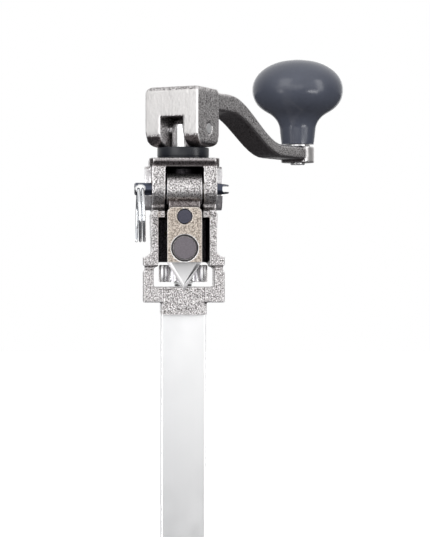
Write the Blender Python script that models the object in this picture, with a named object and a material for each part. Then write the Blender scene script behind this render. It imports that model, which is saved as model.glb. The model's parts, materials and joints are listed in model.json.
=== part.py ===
"""Commercial crank can opener: a cast head with a hinged knife, on a flat steel bar.

Every dimension here is in millimetres, and add_object scales the meshes to metres.
+Z is up, -Y is the knife's side, and the arbor's axis is the Z axis.
The origin is on the bar's lower end face, in line with the arbor.
"""
import math

import bmesh
import bpy
from mathutils import Matrix, Vector
from mathutils.geometry import interpolate_bezier

METRES = 0.001
MERGE = 0.001
GAP = 0.3

# Bar
BAR_WIDTH = 25.4
BAR_FRONT_Y = -6.7
BAR_BACK_Y = 9.2
BAR_LENGTH = 406.4
BAR_SCREW_DROPS = (8.0, 22.0)
BAR_SCREW_R = 3.0
BAR_SCREW_HEAD_R = 5.0

# Heights in the head are measured from the underside of its block.
HEAD_Z = 392.0
BLOCK_HALF_WIDTH = 12.85
BLOCK_TOP = 15.8
BLOCK_FRONT_Y = -13.5
TONGUE_BACK_Y = 14.0
TONGUE_HALF_WIDTH = 11.0
TONGUE_DROP = 30.0
GUIDE_HALF_WIDTH = 22.9
GUIDE_LOW = 7.1
GUIDE_HIGH = 32.5
GUIDE_FRONT_Y = -17.0
GUIDE_BACK_Y = 10.0
RIM_GROOVE_LOW = 25.2
RIM_GROOVE_HIGH = 27.6
WINDOW_HALF_WIDTH = 17.1
WALL_INNER_X = 14.4
WALL_OUTER_X = 18.95
WALL_FRONT_Y = -16.0
WALL_TOP = 59.0
BACK_WALL_LOW = 28.8
BACK_WALL_FRONT_Y = 14.6
BACK_Y = 18.0
YOKE_INNER_X = 10.6
YOKE_OUTER_X = 18.2
YOKE_FRONT_Y = -25.0
TOP_PLATE_LOW = 83.2
TOP_PLATE_HIGH = 88.1
TOP_PLATE_HALF_WIDTH = 19.6
SIDE_BOSS_R = 12.5
SIDE_BOSS_X = 22.0
BEARING_R = 11.5
BEARING_LOW = 60.0
BEARING_BORE_R = 8.3

# Hinge of the knife holder
HINGE_Y = -17.0
HINGE_Z = 70.8
BARREL_R = 8.7
BARREL_HALF_WIDTH = 9.9
EAR_R = 8.6
HINGE_PIN_R = 3.55
BUSH_R = 5.5

# Arbor, its sleeve and the feed gear
ARBOR_R = 6.35
ARBOR_NECK_R = 4.2
SLEEVE_R = 8.0
SLEEVE_LOW = 45.0
SLEEVE_HIGH = 79.0
FLANGE_R = 10.6
FLANGE_HEIGHT = 3.0
RETAINER_LOW = 79.3
RETAINER_HEIGHT = 1.0
GEAR_LOW = 18.6
GEAR_HIGH = 28.2
GEAR_R = 13.9
GEAR_ROOT_R = 12.8
GEAR_TEETH = 24
GEAR_SCREW_LOW = 16.1
GEAR_SCREW_HEAD_R = 5.0
SPRING_WIRE_R = 0.7
SPRING_R = 9.5
SPRING_TURNS = 3
SLEEVE_TRAVEL = 4.8
COLLAR_R = 14.75
COLLAR_LOW = 88.4
COLLAR_HIGH = 94.9
COLLAR_SKIRT_LOW = 85.3

# Crank: the arm runs from the hub towards the back, turned from +Y towards +X
CRANK_TURN = math.radians(32.5)
CRANK_RADIUS = 143.0
HUB_PIN_Z = 105.6
HUB_HALF_WIDTH = 17.3
HUB_NOSE = 13.0
HUB_TAIL = 11.0
HUB_LOW = 95.2
HUB_HIGH = 129.3
HUB_CAM_R = 9.0
HUB_CORNER_R = 3.5
HUB_SLOT_HALF_WIDTH = 7.45
HUB_SLOT_TAIL = 7.3
HUB_SLOT_TOP = 112.3
HANDLE_PIN_R = 3.0
ARM_HALF_WIDTH = 8.5
ARM_TOP = 128.2
ARM_UNDER = 117.3
ARM_END_TOP = 102.5
ARM_END_UNDER = 94.4
ARM_BEND_START = 42.0
ARM_BEND_END = 108.0
ARM_STATIONS = 24
KNOB_BOSS_R = 10.5
KNOB_BOSS_LOW = 93.0
KNOB_BOSS_HIGH = 103.0

# Knob
KNOB_LOW = 104.5
KNOB_HIGH = 158.0
KNOB_R = 28.8
KNOB_EQUATOR_Z = 139.1
KNOB_NECK_R = 11.0
STUD_R = 3.2
STUD_HEAD_R = 4.75
KNOB_BUSH_R = 5.0
KNOB_BUSH_HIGH = 146.0
KNOB_WELL_R = 7.0

# Knife and its holder
PLATE_HALF_WIDTH = 9.7
PLATE_LOW = 29.6
PLATE_HIGH = 60.7
PLATE_FRONT_Y = -26.0
PLATE_BACK_Y = -18.3
NECK_RECESS = 3.5
KNIFE_HALF_WIDTH = 9.4
KNIFE_FRONT_Y = -18.0
KNIFE_BACK_Y = -15.0
KNIFE_TIP_Z = 13.4
KNIFE_SHOULDER_Z = 29.3
KNIFE_TOP_Z = 59.0
KNIFE_GRIND = 2.0
KNIFE_GRIND_DEPTH = 0.8
KNIFE_SCREW_Z = 37.6
KNIFE_SCREW_HEAD_R = 6.3
KNIFE_SCREW_WELL_R = 7.4
KNIFE_SCREW_R = 3.2
DOWEL_Z = 55.2
DOWEL_R = 3.9

# Quick-release pin and its ring
PIN_LEFT_X = -28.0
PIN_RIGHT_X = 25.2
PIN_TIP_R = 2.5
PIN_TAPER = 8.0
PIN_SLOT_DEPTH = 3.6
EYE_X = -24.6
EYE_R = 2.5
RING_R = 14.6
RING_WIRE_R = 0.85
RING_PITCH = 2.2
RING_TURNS = 2

ROUND = 32
SMALL_ROUND = 20


def clear_scene():
    for obj in list(bpy.data.objects):
        bpy.data.objects.remove(obj, do_unlink=True)


def make_material(name, color, roughness, metallic):
    material = bpy.data.materials.new(name)
    material.use_nodes = True
    shader = material.node_tree.nodes["Principled BSDF"]
    shader.inputs["Base Color"].default_value = (*color, 1.0)
    shader.inputs["Roughness"].default_value = roughness
    shader.inputs["Metallic"].default_value = metallic
    return material


def raw_object(name, bm):
    bmesh.ops.recalc_face_normals(bm, faces=bm.faces)
    mesh = bpy.data.meshes.new(name)
    bm.to_mesh(mesh)
    bm.free()
    obj = bpy.data.objects.new(name, mesh)
    bpy.context.collection.objects.link(obj)
    return obj


def add_object(name, bm, material, origin=(0.0, 0.0, 0.0)):
    """Make a part from a mesh in millimetres, with its origin at the given point."""
    bm.transform(Matrix.Translation(-Vector(origin)))
    bm.transform(Matrix.Scale(METRES, 4))
    obj = raw_object(name, bm)
    obj.location = Vector(origin) * METRES
    obj.data.materials.append(material)
    return obj


def combine(bm, tool_bm, operation):
    """Join one mesh to another, or cut it away, with an exact Boolean, in millimetres."""
    body = raw_object("body", bm)
    tool = raw_object("tool", tool_bm)
    modifier = body.modifiers.new("combine", "BOOLEAN")
    modifier.operation = operation
    modifier.object = tool
    bpy.context.view_layer.update()
    graph = bpy.context.evaluated_depsgraph_get()
    result = bmesh.new()
    result.from_mesh(body.evaluated_get(graph).to_mesh())
    bmesh.ops.remove_doubles(result, verts=result.verts, dist=MERGE)
    for obj in (body, tool):
        bpy.data.objects.remove(obj, do_unlink=True)
    return result


def join(bm, other):
    return combine(bm, other, "UNION")


def cut(bm, cutter):
    return combine(bm, cutter, "DIFFERENCE")


def smooth(obj):
    obj.data.shade_smooth()
    obj.data.set_sharp_from_angle(angle=math.radians(35.0))


def arc(centre, radius, start, end, steps):
    """Points on an arc, with its angles in degrees from the first axis."""
    points = []
    for step in range(steps + 1):
        angle = math.radians(start + (end - start) * step / steps)
        points.append((centre[0] + radius * math.cos(angle), centre[1] + radius * math.sin(angle)))
    return points


def to_space(axis, u, v, w):
    """Turn outline coordinates u, v and the distance w along an axis into a point."""
    if axis == "X":
        return Vector((w, u, v))
    if axis == "Y":
        return Vector((u, w, v))
    return Vector((u, v, w))


def prism(outline, axis, low, high):
    """A solid with the same outline all along an axis."""
    bm = bmesh.new()
    low_ring = [bm.verts.new(to_space(axis, u, v, low)) for u, v in outline]
    high_ring = [bm.verts.new(to_space(axis, u, v, high)) for u, v in outline]
    bm.faces.new(low_ring)
    bm.faces.new(high_ring)
    count = len(outline)
    for index in range(count):
        after = (index + 1) % count
        bm.faces.new((low_ring[index], low_ring[after], high_ring[after], high_ring[index]))
    return bm


def box(low, high):
    outline = [(low[0], low[1]), (high[0], low[1]), (high[0], high[1]), (low[0], high[1])]
    return prism(outline, "Z", low[2], high[2])


def rounded_rectangle(low, high, radius, steps=4):
    corners = [
        ((high[0] - radius, high[1] - radius), 0.0),
        ((low[0] + radius, high[1] - radius), 90.0),
        ((low[0] + radius, low[1] + radius), 180.0),
        ((high[0] - radius, low[1] + radius), 270.0),
    ]
    points = []
    for centre, start in corners:
        points += arc(centre, radius, start, start + 90.0, steps)
    return points


def turned(profile, axis="Z", centre=(0.0, 0.0, 0.0), segments=ROUND, closed=False):
    """Turn a profile of (radius, height) points about an axis through the centre."""
    bm = bmesh.new()
    rings = []
    for radius, height in profile:
        if radius < 1e-6:
            rings.append([bm.verts.new(to_space(axis, 0.0, 0.0, height))])
            continue
        ring = []
        for step in range(segments):
            angle = math.tau * step / segments
            point = to_space(axis, radius * math.cos(angle), radius * math.sin(angle), height)
            ring.append(bm.verts.new(point))
        rings.append(ring)
    pairs = list(zip(rings, rings[1:]))
    if closed:
        pairs.append((rings[-1], rings[0]))
    for lower, upper in pairs:
        for step in range(segments):
            after = (step + 1) % segments
            corners = [lower[step % len(lower)], lower[after % len(lower)]]
            corners += [upper[after % len(upper)], upper[step % len(upper)]]
            bm.faces.new(list(dict.fromkeys(corners)))
    bm.transform(Matrix.Translation(centre))
    return bm


def rod(radius, low, high, axis="Z", centre=(0.0, 0.0, 0.0), segments=ROUND):
    return turned([(0.0, low), (radius, low), (radius, high), (0.0, high)], axis, centre, segments)


def tube_ring(outer, inner, low, high, axis="Z", centre=(0.0, 0.0, 0.0), segments=ROUND):
    profile = [(outer, low), (outer, high), (inner, high), (inner, low)]
    return turned(profile, axis, centre, segments, closed=True)


def swept_wire(path, radius, sides=8):
    """A round wire along a list of points, with flat ends."""
    bm = bmesh.new()
    rings = []
    normal = None
    for index, point in enumerate(path):
        before = path[max(index - 1, 0)]
        after = path[min(index + 1, len(path) - 1)]
        tangent = (after - before).normalized()
        if normal is None:
            normal = tangent.orthogonal().normalized()
        normal = (normal - tangent * normal.dot(tangent)).normalized()
        side = tangent.cross(normal)
        ring = []
        for step in range(sides):
            angle = math.tau * step / sides
            offset = normal * math.cos(angle) + side * math.sin(angle)
            ring.append(bm.verts.new(point + offset * radius))
        rings.append(ring)
    for first, second in zip(rings, rings[1:]):
        for step in range(sides):
            after = (step + 1) % sides
            bm.faces.new((first[step], first[after], second[after], second[step]))
    bm.faces.new(rings[0])
    bm.faces.new(rings[-1])
    return bm


def raised(bm):
    """Move a mesh from the head's own heights to its place on the bar."""
    bm.transform(Matrix.Translation((0.0, 0.0, HEAD_Z)))
    return bm


def on_crank(bm):
    """Turn a mesh made along +Y into the crank's direction and raise it to the head."""
    bm.transform(Matrix.Rotation(-CRANK_TURN, 4, "Z"))
    return raised(bm)


def head_point(x, y, z):
    return (x, y, z + HEAD_Z)


def crank_point(distance, z):
    return head_point(distance * math.sin(CRANK_TURN), distance * math.cos(CRANK_TURN), z)


def guide_outline(side):
    """Front view of one can guide, with its rim groove and its flare into the side wall."""
    flare_r = 5.0
    flare = arc((WALL_OUTER_X - 0.9 + flare_r, GUIDE_HIGH + flare_r), flare_r, 270.0, 180.0, 4)
    outline = [
        (BLOCK_HALF_WIDTH - 1.0, GUIDE_LOW),
        (GUIDE_HALF_WIDTH, GUIDE_LOW),
        (GUIDE_HALF_WIDTH, 24.6),
        (GUIDE_HALF_WIDTH - 1.0, 25.2),
        (GUIDE_HALF_WIDTH - 1.0, 27.6),
        (GUIDE_HALF_WIDTH, 28.2),
        (GUIDE_HALF_WIDTH, GUIDE_HIGH - 0.8),
    ]
    outline += flare
    outline += [(WALL_INNER_X, 40.0), (WALL_INNER_X, 28.0)]
    outline += [(WALL_INNER_X + 0.6, 27.2), (WINDOW_HALF_WIDTH - 0.8, 27.0), (WINDOW_HALF_WIDTH, 26.0)]
    outline += [(WINDOW_HALF_WIDTH, BLOCK_TOP), (BLOCK_HALF_WIDTH - 1.0, BLOCK_TOP)]
    return [(side * x, z) for x, z in outline]


def cheek_outline():
    """Side view of one cheek of the yoke, with the ear around the hinge pin."""
    outline = [(BACK_Y, TOP_PLATE_LOW + 1.0), (YOKE_FRONT_Y, TOP_PLATE_LOW + 1.0)]
    outline += arc((HINGE_Y, HINGE_Z), EAR_R, 180.0, 300.0, 8)
    outline += [(-12.0, 60.5), (WALL_FRONT_Y + 0.5, 58.6), (WALL_FRONT_Y + 0.5, 55.0), (BACK_Y, 55.0)]
    return outline


def build_frame_casting(material):
    casting = box((-BLOCK_HALF_WIDTH, BLOCK_FRONT_Y, 0.0), (BLOCK_HALF_WIDTH, TONGUE_BACK_Y, BLOCK_TOP))
    tongue_low = (-TONGUE_HALF_WIDTH, BAR_BACK_Y + GAP, -TONGUE_DROP)
    casting = join(casting, box(tongue_low, (TONGUE_HALF_WIDTH, TONGUE_BACK_Y, 5.0)))
    for side in (-1, 1):
        casting = join(casting, prism(guide_outline(side), "Y", GUIDE_FRONT_Y, GUIDE_BACK_Y))
        wall = [(side * WALL_INNER_X, BACK_WALL_LOW), (side * (WALL_OUTER_X - 0.95), BACK_WALL_LOW)]
        wall += [(side * WALL_OUTER_X, WALL_TOP - 2.0), (side * (WALL_OUTER_X - 1.5), WALL_TOP)]
        wall += [(side * WALL_INNER_X, WALL_TOP)]
        casting = join(casting, prism(wall, "Y", WALL_FRONT_Y, BACK_Y - 0.4))
        cheek_range = sorted((side * YOKE_INNER_X, side * YOKE_OUTER_X))
        casting = join(casting, prism(cheek_outline(), "X", *cheek_range))
        boss_range = sorted((side * (YOKE_OUTER_X - 1.0), side * SIDE_BOSS_X))
        casting = join(casting, rod(SIDE_BOSS_R, *boss_range, axis="X", centre=(0.0, 0.0, HINGE_Z + 1.0)))
    back_low = (-YOKE_OUTER_X + 0.6, BACK_WALL_FRONT_Y, BACK_WALL_LOW + 1.0)
    casting = join(casting, box(back_low, (YOKE_OUTER_X - 0.6, BACK_Y - 0.8, TOP_PLATE_LOW + 1.5)))
    lip = [(YOKE_FRONT_Y - 1.2, TOP_PLATE_HIGH - 0.9), (YOKE_FRONT_Y - 1.2, TOP_PLATE_HIGH - 2.0)]
    lip += [(YOKE_FRONT_Y + 0.5, TOP_PLATE_LOW), (YOKE_FRONT_Y + 3.0, TOP_PLATE_LOW)]
    lip += [(YOKE_FRONT_Y + 3.0, TOP_PLATE_HIGH - 0.4), (YOKE_FRONT_Y - 0.6, TOP_PLATE_HIGH - 0.4)]
    casting = join(casting, prism(lip, "X", 2.0 - TOP_PLATE_HALF_WIDTH, TOP_PLATE_HALF_WIDTH - 2.0))
    plate_low = (-TOP_PLATE_HALF_WIDTH, YOKE_FRONT_Y)
    plate = rounded_rectangle(plate_low, (TOP_PLATE_HALF_WIDTH, BACK_Y + 0.5), 4.0)
    casting = join(casting, prism(plate, "Z", TOP_PLATE_LOW, TOP_PLATE_HIGH))
    casting = join(casting, rod(BEARING_R, BEARING_LOW, TOP_PLATE_LOW + 1.0))
    web_low = (-5.0, BEARING_R - 3.0, BEARING_LOW + 2.0)
    casting = join(casting, box(web_low, (5.0, BACK_WALL_FRONT_Y + 1.0, TOP_PLATE_LOW + 0.7)))
    for side in (-1, 1):
        groove_x = sorted((side * (WINDOW_HALF_WIDTH - 4.0), side * (GUIDE_HALF_WIDTH + 1.0)))
        groove_low = (groove_x[0], GUIDE_FRONT_Y - 5.0, RIM_GROOVE_LOW)
        casting = cut(casting, box(groove_low, (groove_x[1], GUIDE_FRONT_Y + 1.4, RIM_GROOVE_HIGH)))
    relief_x = YOKE_INNER_X + 0.4
    relief = rod(BARREL_R + 0.7, -relief_x, relief_x, axis="X", centre=(0.0, HINGE_Y, HINGE_Z))
    casting = cut(casting, relief)
    casting = cut(casting, rod(BEARING_BORE_R, BEARING_LOW - 5.0, TOP_PLATE_HIGH + 5.0))
    hinge_hole = rod(BUSH_R + GAP, -30.0, 30.0, axis="X", centre=(0.0, HINGE_Y, HINGE_Z), segments=24)
    casting = cut(casting, hinge_hole)
    pocket_low = (-BAR_WIDTH / 2 - GAP, BAR_FRONT_Y - GAP, -5.0)
    pocket_high = (BAR_WIDTH / 2 + GAP, BAR_BACK_Y + GAP, BAR_LENGTH - HEAD_Z + GAP)
    casting = cut(casting, box(pocket_low, pocket_high))
    for drop in BAR_SCREW_DROPS:
        hole = rod(BAR_SCREW_R + GAP, 5.0, 20.0, axis="Y", centre=(0.0, 0.0, -drop), segments=SMALL_ROUND)
        casting = cut(casting, hole)
    smooth(add_object("frame_casting", raised(casting), material))


def build_bar(material):
    outline = rounded_rectangle((-BAR_WIDTH / 2, BAR_FRONT_Y), (BAR_WIDTH / 2, BAR_BACK_Y), 0.8, 2)
    bar = prism(outline, "Z", 0.0, BAR_LENGTH)
    for drop in BAR_SCREW_DROPS:
        centre = (0.0, 0.0, HEAD_Z - drop)
        bar = cut(bar, rod(BAR_SCREW_R + GAP, 0.0, 15.0, axis="Y", centre=centre, segments=SMALL_ROUND))
    smooth(add_object("bar", bar, material))


def build_bar_screws(material):
    for name, drop in zip(("bar_screw_upper", "bar_screw_lower"), BAR_SCREW_DROPS):
        head_start = TONGUE_BACK_Y + GAP
        profile = [
            (0.0, 0.6),
            (BAR_SCREW_R, 0.6),
            (BAR_SCREW_R, head_start),
            (BAR_SCREW_HEAD_R, head_start),
            (BAR_SCREW_HEAD_R, head_start + 4.2),
            (BAR_SCREW_HEAD_R - 0.6, head_start + 4.8),
            (0.0, head_start + 4.8),
        ]
        centre = (0.0, 0.0, HEAD_Z - drop)
        socket = arc((0.0, HEAD_Z - drop), 2.6, 0.0, 300.0, 5)
        screw = turned(profile, "Y", centre, SMALL_ROUND)
        screw = cut(screw, prism(socket, "Y", head_start + 2.0, head_start + 8.0))
        smooth(add_object(name, screw, material, centre))


def build_thrust_bushing(material):
    inner = ARBOR_R + GAP
    profile = [
        (inner, COLLAR_SKIRT_LOW),
        (SLEEVE_R, COLLAR_SKIRT_LOW),
        (SLEEVE_R, COLLAR_LOW),
        (COLLAR_R, COLLAR_LOW),
        (COLLAR_R, COLLAR_HIGH - 0.5),
        (COLLAR_R - 0.5, COLLAR_HIGH),
        (inner, COLLAR_HIGH),
    ]
    smooth(add_object("thrust_bushing", raised(turned(profile, segments=48, closed=True)), material))


def build_lift_sleeve(material):
    inner = ARBOR_R + GAP
    profile = [
        (inner, SLEEVE_LOW),
        (FLANGE_R - 0.8, SLEEVE_LOW),
        (FLANGE_R, SLEEVE_LOW + 0.8),
        (FLANGE_R, SLEEVE_LOW + FLANGE_HEIGHT),
        (SLEEVE_R, SLEEVE_LOW + FLANGE_HEIGHT),
        (SLEEVE_R, SLEEVE_HIGH),
        (inner, SLEEVE_HIGH),
    ]
    smooth(add_object("lift_sleeve", raised(turned(profile, closed=True)), material))


def build_arbor_spring(material):
    low = SLEEVE_LOW + FLANGE_HEIGHT + SLEEVE_TRAVEL + GAP / 2 + SPRING_WIRE_R
    high = BEARING_LOW - GAP - SPRING_WIRE_R
    steps = SPRING_TURNS * 16
    path = []
    for step in range(steps + 1):
        angle = math.tau * SPRING_TURNS * step / steps
        height = low + (high - low) * step / steps
        path.append(Vector((SPRING_R * math.cos(angle), SPRING_R * math.sin(angle), height)))
    smooth(add_object("arbor_spring", raised(swept_wire(path, SPRING_WIRE_R, 6)), material))


def build_arbor(material):
    dome_r = ARBOR_R
    shoulder_r = 8.0
    profile = [
        (0.0, GEAR_LOW + 0.4),
        (ARBOR_NECK_R, GEAR_LOW + 0.4),
        (ARBOR_NECK_R, GEAR_HIGH + GAP),
        (shoulder_r, GEAR_HIGH + GAP),
        (shoulder_r, GEAR_HIGH + 4.0),
        (ARBOR_R, GEAR_HIGH + 5.5),
        (ARBOR_R, SLEEVE_LOW - 3.0),
        (shoulder_r, SLEEVE_LOW - 2.3),
        (shoulder_r, SLEEVE_LOW - GAP),
        (ARBOR_R, SLEEVE_LOW - GAP),
        (ARBOR_R, RETAINER_LOW - 0.15),
        (ARBOR_R - 0.9, RETAINER_LOW - 0.15),
        (ARBOR_R - 0.9, RETAINER_LOW + RETAINER_HEIGHT + 0.15),
        (ARBOR_R, RETAINER_LOW + RETAINER_HEIGHT + 0.15),
    ]
    profile += [(dome_r * math.cos(t), HUB_PIN_Z + dome_r * math.sin(t)) for t in (0.0, 0.4, 0.8, 1.2)]
    profile += [(0.0, HUB_PIN_Z + dome_r)]
    cross_hole = rod(HANDLE_PIN_R + GAP, -10.0, 10.0, axis="X", centre=(0.0, 0.0, HUB_PIN_Z), segments=24)
    arbor = cut(turned(profile), cross_hole)
    arbor = cut(arbor, rod(2.3, GEAR_LOW - 2.0, GEAR_LOW + 9.0, segments=SMALL_ROUND))
    smooth(add_object("arbor", on_crank(arbor), material, head_point(0.0, 0.0, HUB_PIN_Z)))


def build_arbor_retainer(material):
    low = RETAINER_LOW
    retainer = tube_ring(SLEEVE_R - 0.3, ARBOR_R - 0.6, low, low + RETAINER_HEIGHT)
    retainer = cut(retainer, box((-2.5, -10.0, low - 1.0), (2.5, 0.0, low + 3.0)))
    smooth(add_object("arbor_retainer", raised(retainer), material))


def build_feed_gear(material):
    outline = []
    for tooth in range(GEAR_TEETH):
        for share, radius in ((0.0, GEAR_ROOT_R), (0.3, GEAR_R), (0.6, GEAR_R), (0.9, GEAR_ROOT_R)):
            angle = math.tau * (tooth + share) / GEAR_TEETH
            outline.append((radius * math.cos(angle), radius * math.sin(angle)))
    gear = prism(outline, "Z", GEAR_LOW, GEAR_HIGH)
    gear = cut(gear, rod(ARBOR_NECK_R + GAP, GEAR_LOW - 1.0, GEAR_HIGH + 1.0, segments=24))
    smooth(add_object("feed_gear", raised(gear), material))


def build_gear_fasteners(washer_material, screw_material):
    washer = tube_ring(5.6, 2.3, GEAR_SCREW_LOW + 1.6, GEAR_LOW - GAP, segments=24)
    smooth(add_object("gear_washer", raised(washer), washer_material))
    head_top = GEAR_SCREW_LOW + 1.3
    profile = [
        (0.0, GEAR_SCREW_LOW),
        (GEAR_SCREW_HEAD_R - 0.4, GEAR_SCREW_LOW),
        (GEAR_SCREW_HEAD_R, GEAR_SCREW_LOW + 0.4),
        (GEAR_SCREW_HEAD_R, head_top),
        (2.0, head_top),
        (2.0, GEAR_LOW + 8.0),
        (0.0, GEAR_LOW + 8.0),
    ]
    smooth(add_object("gear_screw", raised(turned(profile, segments=24)), screw_material))


def smoothstep(value):
    value = min(max(value, 0.0), 1.0)
    return value * value * (3.0 - 2.0 * value)


def arm_mesh():
    """The arm along +Y, from inside the hub to inside the knob's boss."""
    bm = bmesh.new()
    rings = []
    start = HUB_TAIL - 2.0
    for station in range(ARM_STATIONS + 1):
        distance = start + (CRANK_RADIUS - start) * station / ARM_STATIONS
        drop = smoothstep((distance - ARM_BEND_START) / (ARM_BEND_END - ARM_BEND_START))
        top = ARM_TOP + (ARM_END_TOP - ARM_TOP) * drop
        under = ARM_UNDER + (ARM_END_UNDER - ARM_UNDER) * drop
        outline = rounded_rectangle((-ARM_HALF_WIDTH, under), (ARM_HALF_WIDTH, top), 1.6, 2)
        rings.append([bm.verts.new((x, distance, z)) for x, z in outline])
    count = len(rings[0])
    for first, second in zip(rings, rings[1:]):
        for index in range(count):
            after = (index + 1) % count
            bm.faces.new((first[index], first[after], second[after], second[index]))
    bm.faces.new(rings[0])
    bm.faces.new(rings[-1])
    return bm


def hub_outline():
    """Side view of the hub, whose lower front corner is the cam that lifts the arbor."""
    outline = arc((HUB_CAM_R - HUB_NOSE, HUB_LOW + HUB_CAM_R), HUB_CAM_R, 270.0, 180.0, 10)
    outline += arc((HUB_CORNER_R - HUB_NOSE, HUB_HIGH - HUB_CORNER_R), HUB_CORNER_R, 180.0, 90.0, 4)
    outline += [(HUB_TAIL, HUB_HIGH - 0.8), (HUB_TAIL, HUB_LOW + 6.0)]
    outline += arc((HUB_TAIL - 6.0, HUB_LOW + 6.0), 6.0, 0.0, -90.0, 4)[1:]
    return outline


def build_crank_handle(material):
    view_low = (-HUB_HALF_WIDTH, HUB_LOW - 0.1)
    view_high = (HUB_HALF_WIDTH, HUB_HIGH + 0.1)
    front_view = rounded_rectangle(view_low, view_high, HUB_CORNER_R)
    handle = combine(
        prism(hub_outline(), "X", -HUB_HALF_WIDTH - 1.0, HUB_HALF_WIDTH + 1.0),
        prism(front_view, "Y", -HUB_NOSE - 1.0, HUB_TAIL + 1.0),
        "INTERSECT",
    )
    handle = join(handle, arm_mesh())
    boss_centre = (0.0, CRANK_RADIUS, 0.0)
    handle = join(handle, rod(KNOB_BOSS_R, KNOB_BOSS_LOW, KNOB_BOSS_HIGH, centre=boss_centre))
    slot_rear = arc((HUB_SLOT_TAIL - 3.0, HUB_SLOT_TOP - 3.0), 3.0, 0.0, 90.0, 4)
    slot = [(-30.0, HUB_LOW - 10.0), (HUB_SLOT_TAIL, HUB_LOW - 10.0)]
    slot += slot_rear
    slot += [(-30.0, HUB_SLOT_TOP)]
    handle = cut(handle, prism(slot, "X", -HUB_SLOT_HALF_WIDTH, HUB_SLOT_HALF_WIDTH))
    pin_hole = rod(HANDLE_PIN_R + GAP, -30.0, 30.0, axis="X", centre=(0.0, 0.0, HUB_PIN_Z), segments=24)
    handle = cut(handle, pin_hole)
    stud_hole = rod(STUD_R + GAP, KNOB_BOSS_LOW - 5.0, KNOB_BOSS_HIGH + 5.0, centre=boss_centre, segments=24)
    handle = cut(handle, stud_hole)
    smooth(add_object("crank_handle", on_crank(handle), material, head_point(0.0, 0.0, HUB_PIN_Z)))


def build_handle_pin(material):
    pin = rod(HANDLE_PIN_R, 0.2 - HUB_HALF_WIDTH, HUB_HALF_WIDTH - 0.2, axis="X", segments=24)
    pin.transform(Matrix.Translation((0.0, 0.0, HUB_PIN_Z)))
    smooth(add_object("handle_pin", on_crank(pin), material, head_point(0.0, 0.0, HUB_PIN_Z)))


def knob_profile():
    """Outer curve of the knob from its neck up to its crown, as (radius, height)."""
    knots = [
        (Vector((KNOB_NECK_R - 0.6, KNOB_LOW)), Vector((KNOB_NECK_R - 0.1, KNOB_LOW + 3.0))),
        (Vector((KNOB_NECK_R + 0.4, 114.5)), Vector((KNOB_NECK_R + 0.8, 118.5))),
        (Vector((18.0, 124.0)), Vector((21.5, 126.0))),
        (Vector((KNOB_R, KNOB_EQUATOR_Z)), Vector((KNOB_R, KNOB_EQUATOR_Z + 9.5))),
        (Vector((0.0, KNOB_HIGH)), Vector((-15.0, KNOB_HIGH))),
    ]
    points = []
    for (start, start_handle), (end, end_handle) in zip(knots, knots[1:]):
        back_handle = end * 2.0 - end_handle
        curve = interpolate_bezier(start, start_handle, back_handle, end, 8)
        points += [(point.x, point.y) for point in curve[:-1]]
    return points


def build_knob(material):
    well_floor = KNOB_BUSH_HIGH + GAP
    well_top = KNOB_HIGH - 0.9
    profile = knob_profile()
    outer = [point for point in profile if point[0] > KNOB_WELL_R + GAP]
    bore = KNOB_BUSH_R + GAP
    profile = outer + [
        (KNOB_WELL_R + GAP, well_top),
        (KNOB_WELL_R + GAP, well_floor),
        (bore, well_floor),
        (bore, KNOB_LOW),
    ]
    centre = (0.0, CRANK_RADIUS, 0.0)
    bm = on_crank(turned(profile, centre=centre, segments=40, closed=True))
    smooth(add_object("knob", bm, material, crank_point(CRANK_RADIUS, KNOB_LOW)))


def build_knob_parts(steel, bronze, plastic):
    centre = (0.0, CRANK_RADIUS, 0.0)
    origin = crank_point(CRANK_RADIUS, KNOB_LOW)
    stud_top = KNOB_BUSH_HIGH + 2.8
    stud = [
        (0.0, KNOB_BOSS_LOW - 1.4),
        (STUD_HEAD_R - 0.7, KNOB_BOSS_LOW - 1.4),
        (STUD_HEAD_R, KNOB_BOSS_LOW - 0.9),
        (STUD_HEAD_R, KNOB_BOSS_LOW - GAP),
        (STUD_R, KNOB_BOSS_LOW - GAP),
        (STUD_R, KNOB_BUSH_HIGH + 0.8),
        (STUD_HEAD_R + 1.2, KNOB_BUSH_HIGH + 0.8),
        (STUD_HEAD_R + 0.6, stud_top),
        (0.0, stud_top),
    ]
    stud_mesh = on_crank(turned(stud, centre=centre, segments=24))
    smooth(add_object("knob_stud", stud_mesh, steel, origin))
    washer = tube_ring(8.0, STUD_R + GAP, KNOB_BOSS_HIGH + GAP, KNOB_LOW - GAP, centre=centre, segments=24)
    smooth(add_object("knob_washer", on_crank(washer), steel, origin))
    bush = tube_ring(KNOB_BUSH_R, STUD_R + GAP, KNOB_LOW, KNOB_BUSH_HIGH, centre=centre, segments=24)
    smooth(add_object("knob_bush", on_crank(bush), bronze, origin))
    cap_low = stud_top + 1.0
    cap = [
        (0.0, cap_low),
        (KNOB_WELL_R, cap_low),
        (KNOB_WELL_R, KNOB_HIGH - 0.9),
        (KNOB_WELL_R * 0.6, KNOB_HIGH - 0.3),
        (0.0, KNOB_HIGH),
    ]
    smooth(add_object("knob_cap", on_crank(turned(cap, centre=centre, segments=32)), plastic, origin))


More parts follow.
